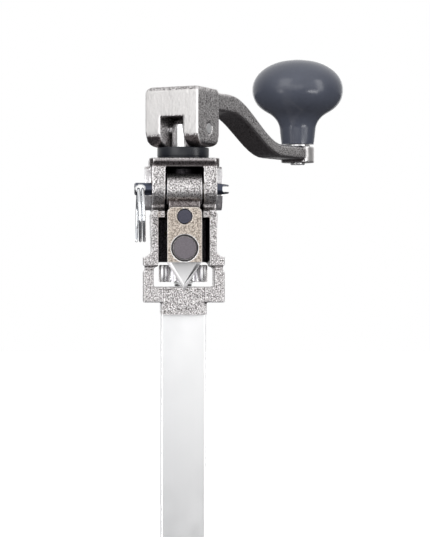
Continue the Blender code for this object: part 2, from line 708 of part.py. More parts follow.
def build_knife_holder(material):
    corner = 3.5
    outline = arc((PLATE_HALF_WIDTH - corner, PLATE_HIGH - corner), corner, 0.0, 90.0, 4)
    outline += arc((corner - PLATE_HALF_WIDTH, PLATE_HIGH - corner), corner, 90.0, 180.0, 4)
    outline += [(-PLATE_HALF_WIDTH, PLATE_LOW), (PLATE_HALF_WIDTH, PLATE_LOW)]
    holder = prism(outline, "Y", PLATE_FRONT_Y, PLATE_BACK_Y)
    neck_low = (1.0 - PLATE_HALF_WIDTH, PLATE_FRONT_Y + NECK_RECESS, PLATE_HIGH - 4.0)
    neck = box(neck_low, (PLATE_HALF_WIDTH - 1.0, -14.5, HINGE_Z - 5.0))
    holder = join(holder, neck)
    hinge_centre = (0.0, HINGE_Y, HINGE_Z)
    holder = join(holder, rod(BARREL_R, -BARREL_HALF_WIDTH, BARREL_HALF_WIDTH, axis="X", centre=hinge_centre))
    knife_seat = box((-30.0, PLATE_BACK_Y, 20.0), (30.0, -10.0, KNIFE_TOP_Z + GAP))
    holder = cut(holder, knife_seat)
    holder = cut(holder, rod(HINGE_PIN_R + GAP, -30.0, 30.0, axis="X", centre=hinge_centre, segments=24))
    screw_centre = (0.0, 0.0, KNIFE_SCREW_Z)
    well_floor = PLATE_FRONT_Y + 3.6
    stepped_hole = [
        (0.0, -40.0),
        (KNIFE_SCREW_WELL_R, -40.0),
        (KNIFE_SCREW_WELL_R, well_floor),
        (KNIFE_SCREW_R + GAP, well_floor),
        (KNIFE_SCREW_R + GAP, 0.0),
        (0.0, 0.0),
    ]
    holder = cut(holder, turned(stepped_hole, "Y", screw_centre))
    holder = cut(holder, rod(DOWEL_R + GAP, -40.0, 0.0, axis="Y", centre=(0.0, 0.0, DOWEL_Z), segments=24))
    smooth(add_object("knife_holder", raised(holder), material, head_point(0.0, HINGE_Y, HINGE_Z)))


def knife_outline(grind):
    """The blade's five-sided outline, with its two cutting edges moved in by the grind."""
    slope = Vector((KNIFE_HALF_WIDTH, KNIFE_SHOULDER_Z - KNIFE_TIP_Z)).normalized()
    lift = grind / slope.x
    return [
        (0.0, KNIFE_TIP_Z + lift),
        (KNIFE_HALF_WIDTH, KNIFE_SHOULDER_Z + lift),
        (KNIFE_HALF_WIDTH, KNIFE_TOP_Z),
        (-KNIFE_HALF_WIDTH, KNIFE_TOP_Z),
        (-KNIFE_HALF_WIDTH, KNIFE_SHOULDER_Z + lift),
    ]


def build_knife(material):
    bm = bmesh.new()
    front = [bm.verts.new((x, KNIFE_FRONT_Y, z)) for x, z in knife_outline(KNIFE_GRIND)]
    grind_y = KNIFE_FRONT_Y + KNIFE_GRIND_DEPTH
    middle = [bm.verts.new((x, grind_y, z)) for x, z in knife_outline(0.0)]
    back = [bm.verts.new((x, KNIFE_BACK_Y, z)) for x, z in knife_outline(0.0)]
    for first, second in ((front, middle), (middle, back)):
        for index in range(5):
            after = (index + 1) % 5
            bm.faces.new((first[index], first[after], second[after], second[index]))
    bm.faces.new(front)
    bm.faces.new(back)
    screw_centre = (0.0, 0.0, KNIFE_SCREW_Z)
    knife = cut(bm, rod(KNIFE_SCREW_R + GAP, -40.0, 0.0, axis="Y", centre=screw_centre, segments=24))
    knife = cut(knife, rod(DOWEL_R + GAP, -40.0, 0.0, axis="Y", centre=(0.0, 0.0, DOWEL_Z), segments=24))
    smooth(add_object("knife", raised(knife), material, head_point(0.0, HINGE_Y, HINGE_Z)))


def build_knife_fasteners(screw_material, dowel_material):
    origin = head_point(0.0, HINGE_Y, HINGE_Z)
    head_back = PLATE_FRONT_Y + 3.3
    profile = [
        (0.0, PLATE_FRONT_Y - 0.2),
        (KNIFE_SCREW_HEAD_R - 0.3, PLATE_FRONT_Y - 0.2),
        (KNIFE_SCREW_HEAD_R, PLATE_FRONT_Y + 0.1),
        (KNIFE_SCREW_HEAD_R, head_back),
        (KNIFE_SCREW_R, head_back),
        (KNIFE_SCREW_R, KNIFE_BACK_Y),
        (0.0, KNIFE_BACK_Y),
    ]
    screw = turned(profile, "Y", (0.0, 0.0, KNIFE_SCREW_Z), ROUND)
    smooth(add_object("knife_screw", raised(screw), screw_material, origin))
    dowel = rod(DOWEL_R, PLATE_FRONT_Y - 0.1, KNIFE_BACK_Y, axis="Y", centre=(0.0, 0.0, DOWEL_Z), segments=24)
    smooth(add_object("knife_dowel", raised(dowel), dowel_material, origin))


def build_hinge_bushes(material):
    for name, side in (("hinge_bush_left", -1), ("hinge_bush_right", 1)):
        low, high = sorted((side * YOKE_INNER_X, side * YOKE_OUTER_X))
        centre = (0.0, HINGE_Y, HINGE_Z)
        bush = tube_ring(BUSH_R, HINGE_PIN_R + GAP, low, high, "X", centre, 24)
        smooth(add_object(name, raised(bush), material, head_point(0.0, HINGE_Y, HINGE_Z)))


def build_quick_release_pin(material):
    chamfer = 0.7
    profile = [
        (0.0, PIN_LEFT_X),
        (HINGE_PIN_R - chamfer, PIN_LEFT_X),
        (HINGE_PIN_R, PIN_LEFT_X + chamfer),
        (HINGE_PIN_R, PIN_RIGHT_X - PIN_TAPER),
        (PIN_TIP_R, PIN_RIGHT_X - 0.3),
        (PIN_TIP_R - 0.3, PIN_RIGHT_X),
        (0.0, PIN_RIGHT_X),
    ]
    centre = (0.0, HINGE_Y, HINGE_Z)
    pin = turned(profile, "X", centre, 24)
    pin = cut(pin, rod(EYE_R, -10.0, 10.0, axis="Y", centre=(EYE_X, HINGE_Y, HINGE_Z), segments=24))
    slot_low = (PIN_RIGHT_X - PIN_SLOT_DEPTH, HINGE_Y - 10.0, HINGE_Z - 1.5)
    pin = cut(pin, box(slot_low, (PIN_RIGHT_X + 5.0, HINGE_Y + 10.0, HINGE_Z + 1.5)))
    smooth(add_object("quick_release_pin", raised(pin), material, head_point(0.0, HINGE_Y, HINGE_Z)))


def build_split_ring(material):
    steps = RING_TURNS * 30
    path = []
    for step in range(steps + 1):
        turn = RING_TURNS * step / steps
        angle = math.tau * turn
        x = EYE_X + RING_PITCH * (turn - RING_TURNS / 2)
        path.append(Vector((x, HINGE_Y + RING_R * math.sin(angle), HINGE_Z - RING_R - RING_R * math.cos(angle))))
    ring = swept_wire(path, RING_WIRE_R, 8)
    smooth(add_object("split_ring", raised(ring), material, head_point(EYE_X, HINGE_Y, HINGE_Z)))


def main():
    clear_scene()
    nickel = make_material("cast_nickel", (0.55, 0.53, 0.53), 0.42, 1.0)
    tan = make_material("sand_cast", (0.52, 0.47, 0.42), 0.6, 0.8)
    stainless = make_material("stainless", (0.78, 0.79, 0.82), 0.3, 1.0)
    dark_steel = make_material("dark_steel", (0.13, 0.14, 0.17), 0.35, 1.0)
    tool_steel = make_material("tool_steel", (0.35, 0.34, 0.36), 0.35, 1.0)
    zinc = make_material("zinc", (0.75, 0.78, 0.82), 0.2, 1.0)
    bronze = make_material("bronze", (0.55, 0.36, 0.16), 0.4, 1.0)
    nylon = make_material("black_nylon", (0.02, 0.024, 0.032), 0.45, 0.0)
    knob_grey = make_material("knob_grey", (0.085, 0.095, 0.125), 0.15, 0.0)

    build_frame_casting(nickel)
    build_bar(stainless)
    build_bar_screws(dark_steel)
    build_thrust_bushing(nylon)
    build_lift_sleeve(bronze)
    build_arbor_spring(stainless)
    build_arbor(stainless)
    build_arbor_retainer(dark_steel)
    build_feed_gear(tool_steel)
    build_gear_fasteners(zinc, dark_steel)
    build_crank_handle(nickel)
    build_handle_pin(stainless)
    build_knob(knob_grey)
    build_knob_parts(stainless, bronze, knob_grey)
    build_knife_holder(tan)
    build_knife(tool_steel)
    build_knife_fasteners(tool_steel, dark_steel)
    build_hinge_bushes(bronze)
    build_quick_release_pin(dark_steel)
    build_split_ring(zinc)


main()
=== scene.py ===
"""The looks of a commercial crank can opener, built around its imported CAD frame."""
import json
import math

import bmesh
import bpy
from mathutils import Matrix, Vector, noise
from mathutils.geometry import interpolate_bezier


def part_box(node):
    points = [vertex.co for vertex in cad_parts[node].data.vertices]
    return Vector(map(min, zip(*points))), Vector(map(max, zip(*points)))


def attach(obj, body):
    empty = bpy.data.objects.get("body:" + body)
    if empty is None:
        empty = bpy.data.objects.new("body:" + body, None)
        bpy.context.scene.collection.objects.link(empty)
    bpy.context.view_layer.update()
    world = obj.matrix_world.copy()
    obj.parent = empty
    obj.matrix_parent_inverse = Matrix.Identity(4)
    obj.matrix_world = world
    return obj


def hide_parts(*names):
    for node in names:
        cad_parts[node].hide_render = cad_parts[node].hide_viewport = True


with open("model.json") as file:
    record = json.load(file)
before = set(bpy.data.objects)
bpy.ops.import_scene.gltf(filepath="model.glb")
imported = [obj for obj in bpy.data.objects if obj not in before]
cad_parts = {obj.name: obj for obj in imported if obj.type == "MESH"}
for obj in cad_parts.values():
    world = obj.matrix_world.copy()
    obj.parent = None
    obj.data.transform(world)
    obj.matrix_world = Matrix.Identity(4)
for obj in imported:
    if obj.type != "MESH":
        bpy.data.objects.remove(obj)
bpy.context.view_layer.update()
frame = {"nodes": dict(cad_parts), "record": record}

MM = 0.001
JOINTS = {joint["name"]: joint for joint in frame["record"]["behaviour"]["joints"]}
HANDLE_PIN = Vector(JOINTS["handle_lift"]["pos_m"])
HANDLE_AXIS = Vector(JOINTS["handle_lift"]["axis"]).normalized()
ARM_DIRECTION = Vector((-HANDLE_AXIS.y, HANDLE_AXIS.x, 0.0))
KNOB_BASE = Vector(JOINTS["knob_spin"]["pos_m"])
HINGE = Vector(JOINTS["knife_swing"]["pos_m"])
RING_EYE = Vector(JOINTS["ring_swing"]["pos_m"])
BODY_OF = {node: body for body, nodes in frame["record"]["behaviour"]["bodies"].items() for node in nodes}

# Camera
CAMERA_DISTANCE = 1.15
CAMERA_YAW = math.radians(-3.0)
CAMERA_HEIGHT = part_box("bar")[1].z + 11.8 * MM
CAMERA_SIDE = 18.2 * MM
LENS = 135.2

# Studio
FLOOR_GLOW = 0.5
FLOOR_SHADE = (0.1, 0.1, 0.105)
WORLD_BRIGHT = 0.8
WORLD_DARK = 0.08
WORLD_FALLOFF = 1.6
WORLD_TOP = 0.8

# Materials and meshes
WHITE = (1.0, 1.0, 1.0)
# Convex edges and rims are painted lighter: partly wear, partly a painted highlight for the light that
# rounded edges catch.
EDGE_WEAR_AND_HIGHLIGHT = (0.95, 0.95, 0.95)
EDGE_WEAR_AND_HIGHLIGHT_RAMP = (0.512, 0.56)
RIM_WEAR_AND_HIGHLIGHT_RAMP = (0.62, 0.7)
CAST_GRAIN = 1350.0
MERGE_DISTANCE = 1e-6
BEZIER_POINTS = 14


# ---------------------------------------------------------------- materials
class Graph:
    """A Principled material and short calls that add nodes to it."""

    def __init__(self, name, color, metallic, roughness):
        self.material = bpy.data.materials.new(name)
        self.material.use_nodes = True
        self.nodes = self.material.node_tree.nodes
        self.links = self.material.node_tree.links
        self.shader = self.nodes["Principled BSDF"]
        self.shader.inputs["Base Color"].default_value = (*color, 1.0)
        self.shader.inputs["Metallic"].default_value = metallic
        self.shader.inputs["Roughness"].default_value = roughness
        self.place = self.nodes.new("ShaderNodeTexCoord").outputs["Object"]

    def stretched(self, scale):
        mapping = self.nodes.new("ShaderNodeMapping")
        mapping.inputs["Scale"].default_value = scale
        self.links.new(self.place, mapping.inputs["Vector"])
        return mapping.outputs["Vector"]

    def noise(self, scale, detail=2.0, rough=0.5, vector=None):
        node = self.nodes.new("ShaderNodeTexNoise")
        node.inputs["Scale"].default_value = scale
        node.inputs["Detail"].default_value = detail
        node.inputs["Roughness"].default_value = rough
        self.links.new(vector or self.place, node.inputs["Vector"])
        return node.outputs["Fac"]

    def ramp(self, value, low, high, dark=(0.0, 0.0, 0.0), light=(1.0, 1.0, 1.0)):
        node = self.nodes.new("ShaderNodeValToRGB")
        first, last = node.color_ramp.elements
        first.position, first.color = low, (*dark, 1.0)
        last.position, last.color = high, (*light, 1.0)
        self.links.new(value, node.inputs["Fac"])
        return node.outputs["Color"]

    def remap(self, value, low, high, start=0.3, end=0.7):
        node = self.nodes.new("ShaderNodeMapRange")
        for key, number in (("From Min", start), ("From Max", end), ("To Min", low), ("To Max", high)):
            node.inputs[key].default_value = number
        self.links.new(value, node.inputs["Value"])
        return node.outputs["Result"]

    def mix(self, share, first, second):
        node = self.nodes.new("ShaderNodeMix")
        node.data_type = "RGBA"
        self.links.new(share, node.inputs["Factor"])
        for socket, value in ((node.inputs["A"], first), (node.inputs["B"], second)):
            self.set(socket, value)
        return node.outputs["Result"]

    def set(self, socket, value):
        if isinstance(value, tuple):
            socket.default_value = (*value, 1.0)
        else:
            self.links.new(value, socket)

    # Convex edges by pointiness: the mask for edges painted lighter, as wear and as a painted highlight.
    def edges(self, start=EDGE_WEAR_AND_HIGHLIGHT_RAMP[0], end=EDGE_WEAR_AND_HIGHLIGHT_RAMP[1]):
        pointiness = self.nodes.new("ShaderNodeNewGeometry").outputs["Pointiness"]
        return self.ramp(pointiness, start, end)

    def bump(self, *layers):
        """Stack bump layers, each (height, strength, distance in metres)."""
        normal = None
        for height, strength, distance in layers:
            node = self.nodes.new("ShaderNodeBump")
            node.inputs["Strength"].default_value = strength
            node.inputs["Distance"].default_value = distance
            self.links.new(height, node.inputs["Height"])
            if normal:
                self.links.new(normal, node.inputs["Normal"])
            normal = node.outputs["Normal"]
        self.links.new(normal, self.shader.inputs["Normal"])

    def color(self, value):
        self.links.new(value, self.shader.inputs["Base Color"])

    def roughness(self, value):
        self.links.new(value, self.shader.inputs["Roughness"])


def cast_metal(name, light, dark, grain, bump, edge_wear_and_highlight):
    """Sand-cast metal: a salt-and-pepper grain, shallow pits, and convex edges painted lighter, partly as
    wear and partly as a painted highlight.
    """
    graph = Graph(name, light, 1.0, 0.4)
    fine = graph.noise(grain, 3.0, 0.65)
    coarse = graph.noise(grain * 0.3, 2.0, 0.5)
    speckle = graph.ramp(fine, 0.38, 0.6, dark, light)
    # Convex edges take a lighter colour: partly wear, partly a painted highlight.
    graph.color(graph.mix(graph.edges(), speckle, edge_wear_and_highlight))
    graph.roughness(graph.remap(fine, 0.5, 0.24))
    graph.bump((coarse, 0.35, 0.0006), (fine, bump, 0.0004))
    return graph.material


def machined_metal(name, color, stretch, roughness=0.3, contrast=0.12, wear_and_highlight=EDGE_WEAR_AND_HIGHLIGHT_RAMP):
    """Cut or ground metal, with its marks running along one direction."""
    graph = Graph(name, color, 1.0, roughness)
    marks = graph.noise(1.0, 2.0, 0.5, graph.stretched(stretch))
    blotch = graph.noise(90.0, 2.0)
    shade = tuple(channel * (1.0 - contrast) for channel in color)
    brushed = graph.ramp(marks, 0.3, 0.7, shade, color)
    # Convex edges are painted near white: partly wear, partly a painted highlight.
    graph.color(graph.mix(graph.edges(*wear_and_highlight), brushed, EDGE_WEAR_AND_HIGHLIGHT))
    graph.roughness(graph.remap(blotch, roughness * 0.9, roughness * 1.15))
    graph.bump((marks, 0.12, 0.00002))
    return graph.material


def moulded_plastic(name, color, roughness, grain, bump):
    """Moulded plastic, with a faint orange peel and dull patches where it is handled."""
    graph = Graph(name, color, 0.0, roughness)
    peel = graph.noise(grain, 2.0)
    wear = graph.noise(70.0, 3.0)
    deep = tuple(channel * 0.86 for channel in color)
    graph.color(graph.ramp(wear, 0.3, 0.7, deep, color))
    graph.roughness(graph.remap(wear, roughness * 0.8, roughness * 1.35))
    graph.bump((peel, bump, 0.0002))
    return graph.material


def make_materials():
    return {
        "cast_nickel": cast_metal(
            "cast_nickel", (0.93, 0.9, 0.9), (0.07, 0.06, 0.06), CAST_GRAIN, 0.6, (1.0, 0.98, 0.98)
        ),
        # A darker copy of the cast nickel: painted shade for faces that look down, the head's front lip and
        # the holder's neck.
        "painted_under_shade": cast_metal(
            "cast_painted_under_shade", (0.3, 0.27, 0.27), (0.05, 0.04, 0.04), CAST_GRAIN, 0.2, (0.85, 0.82, 0.82)
        ),
        # A near-black copy of the cast metal: painted shade for the deep cavity inside the head.
        "painted_recess_shade": cast_metal(
            "cast_painted_recess_shade", (0.05, 0.045, 0.05), (0.008, 0.008, 0.01), CAST_GRAIN, 0.3, (0.3, 0.28, 0.28)
        ),
        # A paler, low-contrast copy of the cast nickel: painted light on the side bosses.
        "painted_light_cast": cast_metal("cast_painted_light", (0.95, 0.94, 0.95), (0.7, 0.68, 0.7), CAST_GRAIN, 0.1, WHITE),
        "sand_cast": cast_metal(
            "sand_cast", (0.74, 0.66, 0.58), (0.22, 0.18, 0.15), 1200.0, 0.35, (0.95, 0.92, 0.89)
        ),
        "milled": machined_metal("milled_face", (0.9, 0.88, 0.87), (2600.0, 2600.0, 90.0), 0.34, 0.08),
        "stainless": machined_metal("satin_stainless", (0.45, 0.47, 0.51), (400.0, 400.0, 5.0), 0.32, 0.05),
        "turned": machined_metal("turned_steel", (0.82, 0.82, 0.84), (80.0, 80.0, 3000.0), 0.24, 0.12),
        "tool_steel": machined_metal("ground_steel", (0.24, 0.225, 0.235), (2200.0, 300.0, 300.0), 0.36, 0.2),
        # Near-white steel for the knife's bevels: a ground edge, lightened further as a painted highlight.
        "ground_edge_painted_highlight": machined_metal("cutting_edge_painted_highlight", (0.98, 0.98, 0.98), (900.0, 900.0, 900.0), 0.45, 0.04),
        "gear_steel": machined_metal("gear_steel", (0.6, 0.58, 0.62), (600.0, 600.0, 60.0), 0.26, 0.3),
        # The rims of the screw and dowel faces are painted light, partly as wear and partly as a painted
        # highlight.
        "disc_steel": machined_metal(
            "screw_face", (0.22, 0.2, 0.22), (1500.0, 1500.0, 1500.0), 0.5, 0.2, RIM_WEAR_AND_HIGHLIGHT_RAMP
        ),
        "dowel_steel": machined_metal(
            "dowel_face", (0.1, 0.1, 0.13), (1500.0, 1500.0, 1500.0), 0.55, 0.2, RIM_WEAR_AND_HIGHLIGHT_RAMP
        ),
        "dark_steel": machined_metal("oiled_steel", (0.1, 0.11, 0.15), (120.0, 1500.0, 1500.0), 0.3, 0.25),
        "zinc": machined_metal("zinc_plate", (0.85, 0.89, 0.94), (500.0, 500.0, 500.0), 0.16, 0.1),
        "bronze": machined_metal("bearing_bronze", (0.72, 0.47, 0.22), (100.0, 100.0, 2500.0), 0.35, 0.15),
        "nylon": moulded_plastic("black_nylon", (0.006, 0.008, 0.014), 0.3, 2200.0, 0.15),
        "knob": moulded_plastic("slate_plastic", (0.092, 0.101, 0.133), 0.19, 500.0, 0.04),
    }


# ---------------------------------------------------------------- mesh tools
def plain_object(name, bm):
    mesh = bpy.data.meshes.new(name)
    bm.to_mesh(mesh)
    bm.free()
    obj = bpy.data.objects.new(name, mesh)
    bpy.context.collection.objects.link(obj)
    return obj


def bake_modifiers(obj):
    """Replace an object's mesh by what its modifiers make of it."""
    bpy.context.view_layer.update()
    graph = bpy.context.evaluated_depsgraph_get()
    mesh = bpy.data.meshes.new_from_object(obj.evaluated_get(graph))
    obj.modifiers.clear()
    obj.data = mesh


def finish_piece(obj, node, *materials, angle=40.0):
    """Give a piece its materials and its body, and hide the CAD node that it stands for."""
    obj.data.materials.clear()
    for material in materials:
        obj.data.materials.append(material)
    obj.data.shade_smooth()
    obj.data.set_sharp_from_angle(angle=math.radians(angle))
    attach(obj, BODY_OF[node])
    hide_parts(node)
    return obj


def node_bmesh(node):
    bm = bmesh.new()
    bm.from_mesh(frame["nodes"][node].data)
    bmesh.ops.remove_doubles(bm, verts=bm.verts, dist=MERGE_DISTANCE)
    return bm


def recast(name, node, voxel, rounds, grain_height=0.0, grain_scale=1100.0):
    """Copy a CAD solid with soft, cast edges: voxels, smoothing, then a fine grain."""
    obj = plain_object(name, node_bmesh(node))
    remesh = obj.modifiers.new("voxels", "REMESH")
    remesh.mode = "VOXEL"
    remesh.voxel_size = voxel
    remesh.use_smooth_shade = True
    soften = obj.modifiers.new("soften", "SMOOTH")
    soften.factor = 0.5
    soften.iterations = rounds
    bake_modifiers(obj)
    if grain_height:
        roughen(obj.data, grain_height, grain_scale)
    return obj


def roughen(mesh, grain_height, grain_scale):
    """Move each point along its normal by a two-scale noise."""
    moved = []
    for place, normal in [(vertex.co.copy(), vertex.normal.copy()) for vertex in mesh.vertices]:
        height = noise.noise(place * grain_scale) + 0.6 * noise.noise(place * grain_scale * 0.35)
        moved.extend(place + normal * (height * grain_height))
    mesh.vertices.foreach_set("co", moved)
    mesh.update()


def lathe(profile, centre, axis="Z", segments=96):
    """Turn (radius, height) points in metres about an axis; a profile off the axis closes on itself."""
    bm = bmesh.new()
    rings = []
    for radius, height in profile:
        count = segments if radius > 1e-7 else 1
        ring = []
        for step in range(count):
            angle = math.tau * step / segments
            u, v = radius * math.cos(angle), radius * math.sin(angle)
            point = {"X": (height, u, v), "Y": (v, height, u), "Z": (u, v, height)}[axis]
            ring.append(bm.verts.new(Vector(point) + Vector(centre)))
        rings.append(ring)
    pairs = list(zip(rings, rings[1:]))
    if len(rings[0]) > 1 and len(rings[-1]) > 1:
        pairs.append((rings[-1], rings[0]))
    for lower, upper in pairs:
        for step in range(segments):
            after = (step + 1) % segments
            corners = [lower[step % len(lower)], lower[after % len(lower)]]
            corners += [upper[after % len(upper)], upper[step % len(upper)]]
            bm.faces.new(list(dict.fromkeys(corners)))
    bmesh.ops.recalc_face_normals(bm, faces=bm.faces)
    return bm


def wire(path, radius, sides=14):
    """A round wire along points, with rounded ends."""
    bm = bmesh.new()
    rings = []
    normal = (path[1] - path[0]).orthogonal().normalized()
    for index, point in enumerate(path):
        tangent = (path[min(index + 1, len(path) - 1)] - path[max(index - 1, 0)]).normalized()
        normal = (normal - tangent * normal.dot(tangent)).normalized()
        side = tangent.cross(normal)
        ends = min(index, len(path) - 1 - index)
        thickness = radius * (0.6 if ends == 0 else 1.0)
        ring = []
        for step in range(sides):
            angle = math.tau * step / sides
            ring.append(bm.verts.new(point + (normal * math.cos(angle) + side * math.sin(angle)) * thickness))
        rings.append(ring)
    for first, second in zip(rings, rings[1:]):
        for step in range(sides):
            after = (step + 1) % sides
            bm.faces.new((first[step], first[after], second[after], second[step]))
    bm.faces.new(rings[0])
    bm.faces.new(rings[-1])
    bmesh.ops.recalc_face_normals(bm, faces=bm.faces)
    return bm


def paint_faces(obj, slot_index, test):
    """Give a material slot to the faces that pass a test of centre and normal."""
    for polygon in obj.data.polygons:
        if test(polygon.center, polygon.normal):
            polygon.material_index = slot_index


# ---------------------------------------------------------------- pieces
def build_casting(looks):
    obj = recast("head_casting", "frame_casting", 0.5 * MM, 3, 0.035 * MM)
    tints = (looks["cast_nickel"], looks["painted_light_cast"], looks["painted_recess_shade"], looks["painted_under_shade"])
    finish_piece(obj, "frame_casting", *tints)
    cheek_x = 18.7 * MM
    plate_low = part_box("knife_holder")[0]
    yoke_foot = HINGE.z - 14.0 * MM
    yoke_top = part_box("frame_casting")[1].z - 5.4 * MM
    yoke_gap, yoke_depth = 11.0 * MM, 2.6 * MM
    wall_gap, wall_depth = 14.8 * MM, 11.6 * MM
    painted_recess_shade_top = yoke_top + 0.6 * MM
    painted_recess_shade_low = plate_low.z - 1.5 * MM
    lip_low = yoke_top + 0.4 * MM

    # Faces out past the yoke cheeks, between the yoke's foot and top, get the pale cast: painted light.
    def on_painted_light_boss(centre, normal):
        return abs(centre.x) > cheek_x and yoke_foot < centre.z < yoke_top

    # Deep faces inside the yoke opening and between the lower walls get the near-black cast: painted shade.
    # With no limit at the back, the outer face of the back wall is darkened too.
    def in_painted_recess_shade(centre, normal):
        depth = centre.y - plate_low.y
        if centre.z > yoke_foot:
            return abs(centre.x) < yoke_gap and depth > yoke_depth and centre.z < painted_recess_shade_top
        return abs(centre.x) < wall_gap and depth > wall_depth and centre.z > painted_recess_shade_low

    # The forward-facing faces along the top front of the head get the darker cast: painted shade.
    def on_painted_lip_shade(centre, normal):
        return centre.z > lip_low and normal.z < 0.5 and normal.y < -0.2

    paint_faces(obj, 1, on_painted_light_boss)
    paint_faces(obj, 2, in_painted_recess_shade)
    paint_faces(obj, 3, on_painted_lip_shade)


def build_handle(looks):
    obj = recast("crank_casting", "crank_handle", 0.55 * MM, 4, 0.03 * MM)
    finish_piece(obj, "crank_handle", looks["cast_nickel"], looks["milled"], looks["painted_under_shade"])
    front = min((vertex.co - HANDLE_PIN).dot(ARM_DIRECTION) for vertex in obj.data.vertices)
    nose_depth = 0.35 * MM
    boss_high = KNOB_BASE.z - 0.5 * MM
    boss_side = KNOB_BASE.x + 4.0 * MM

    def on_nose(centre, normal):
        depth = (centre - HANDLE_PIN).dot(ARM_DIRECTION)
        return depth < front + nose_depth and normal.dot(ARM_DIRECTION) < -0.9

    # Faces that look down get the darker cast: painted shade.
    def on_painted_under_shade(centre, normal):
        return normal.z < -0.35

    def on_boss_end(centre, normal):
        return centre.z < boss_high and centre.x > boss_side and abs(normal.z) < 0.7

    paint_faces(obj, 2, on_painted_under_shade)
    paint_faces(obj, 1, on_boss_end)
    paint_faces(obj, 1, on_nose)


def build_holder(looks):
    obj = recast("holder_casting", "knife_holder", 0.4 * MM, 3, 0.03 * MM)
    tints = (looks["sand_cast"], looks["cast_nickel"], looks["milled"], looks["painted_under_shade"])
    finish_piece(obj, "knife_holder", *tints)
    barrel_floor = HINGE.z - 9.0 * MM
    paint_faces(obj, 1, lambda centre, normal: centre.z > barrel_floor)
    screw_low, screw_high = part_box("knife_screw")
    middle = (screw_low + screw_high) / 2
    well = (screw_high.x - screw_low.x) / 2 + 1.7 * MM

    def in_screw_well(centre, normal):
        return math.hypot(centre.x - middle.x, centre.z - middle.z) < well

    paint_faces(obj, 2, in_screw_well)
    # The band just above the plate, the neck under the barrel, gets the darker cast: painted shade.
    plate_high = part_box("knife_holder")[0].z + 31.1 * MM
    neck_height = 4.2 * MM
    paint_faces(obj, 3, lambda centre, normal: plate_high < centre.z < plate_high + neck_height)


def build_knob(looks):
    low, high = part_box("knob")
    radius = (high.x - low.x) / 2
    cap_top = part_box("knob_cap")[1].z
    well_edge = Vector((7.3 * MM, cap_top - 0.75 * MM))
    play = 0.3 * MM
    neck = 10.7 * MM
    equator = low.z + 34.6 * MM
    knots = [
        (Vector((neck - 0.5 * MM, low.z)), Vector((neck, low.z + 3 * MM))),
        (Vector((neck + 0.7 * MM, low.z + 10 * MM)), Vector((neck + 1.1 * MM, low.z + 14 * MM))),
        (Vector((18 * MM, low.z + 19.5 * MM)), Vector((21.5 * MM, low.z + 21.5 * MM))),
        (Vector((radius, equator)), Vector((radius, equator + 9.5 * MM))),
        (well_edge, Vector((-4 * MM, cap_top + 0.5 * MM))),
    ]
    profile = []
    for (start, start_handle), (end, end_handle) in zip(knots, knots[1:]):
        curve = interpolate_bezier(start, start_handle, end * 2 - end_handle, end, BEZIER_POINTS)
        profile += [(point.x, point.y) for point in curve[:-1]]
    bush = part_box("knob_bush")
    bore = (bush[1].x - bush[0].x) / 2 + play
    floor_z = bush[1].z + play
    profile += [tuple(well_edge), (well_edge.x, floor_z), (bore, floor_z), (bore, low.z)]
    obj = plain_object("ball_knob", lathe(profile, (KNOB_BASE.x, KNOB_BASE.y, 0.0)))
    finish_piece(obj, "knob", looks["knob"])


def build_collar(looks):
    low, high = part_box("thrust_bushing")
    radius = (high.x - low.x) / 2
    flange_low = high.z - 6.5 * MM
    inner = 6.65 * MM
    skirt = 8.0 * MM
    lip = 0.5 * MM
    lip_round = 0.15 * MM
    groove_r = radius - 0.25 * MM
    profile = [(inner, low.z), (skirt, low.z), (skirt, flange_low), (radius - lip, flange_low)]
    profile += [(radius, flange_low + lip), (radius, flange_low + 1.1 * MM)]
    profile += [(groove_r, flange_low + 1.3 * MM), (groove_r, flange_low + 1.5 * MM)]
    profile += [(radius, flange_low + 1.7 * MM)]
    profile += [(radius, high.z - lip), (radius - lip_round, high.z - lip_round)]
    profile += [(radius - lip, high.z), (inner, high.z)]
    obj = plain_object("nylon_collar", lathe(profile, (0, 0, 0)))
    finish_piece(obj, "thrust_bushing", looks["nylon"], angle=50)


def build_gear(looks):
    """Feed gear: raked teeth round a disc, with a small chamfer at both ends."""
    low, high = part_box("feed_gear")
    outer = (high.x - low.x) / 2
    root = outer - 1.3 * MM
    teeth = 24
    tooth_shape = ((0.0, root), (0.2, root), (0.42, outer), (0.62, outer), (0.8, root + 0.2 * MM))
    thickness = high.z - low.z
    chamfer_run, chamfer_rise = 0.6 * MM, 0.5 * MM
    bore = 4.5 * MM
    bm = bmesh.new()
    rings = []
    stations = (
        (0.0, chamfer_run),
        (chamfer_rise, 0.0),
        (thickness - chamfer_rise, 0.0),
        (thickness, chamfer_run),
    )
    for height, inset in stations:
        ring = []
        for tooth in range(teeth):
            for share, radius in tooth_shape:
                angle = math.tau * (tooth + share) / teeth
                reach = min(radius, outer - inset)
                point = (reach * math.cos(angle), reach * math.sin(angle), low.z + height)
                ring.append(bm.verts.new(point))
        rings.append(ring)
    count = len(rings[0])
    for first, second in zip(rings, rings[1:]):
        for index in range(count):
            after = (index + 1) % count
            bm.faces.new((first[index], first[after], second[after], second[index]))
    for ring, height in ((rings[0], low.z), (rings[-1], high.z)):
        hole = []
        for step in range(count):
            angle = math.tau * step / count
            hole.append(bm.verts.new((bore * math.cos(angle), bore * math.sin(angle), height)))
        for index in range(count):
            after = (index + 1) % count
            bm.faces.new((ring[index], ring[after], hole[after], hole[index]))
        rings.append(hole)
    for index in range(count):
        after = (index + 1) % count
        bm.faces.new((rings[-2][index], rings[-2][after], rings[-1][after], rings[-1][index]))
    bmesh.ops.recalc_face_normals(bm, faces=bm.faces)
    finish_piece(plain_object("toothed_gear", bm), "feed_gear", looks["gear_steel"], angle=25)


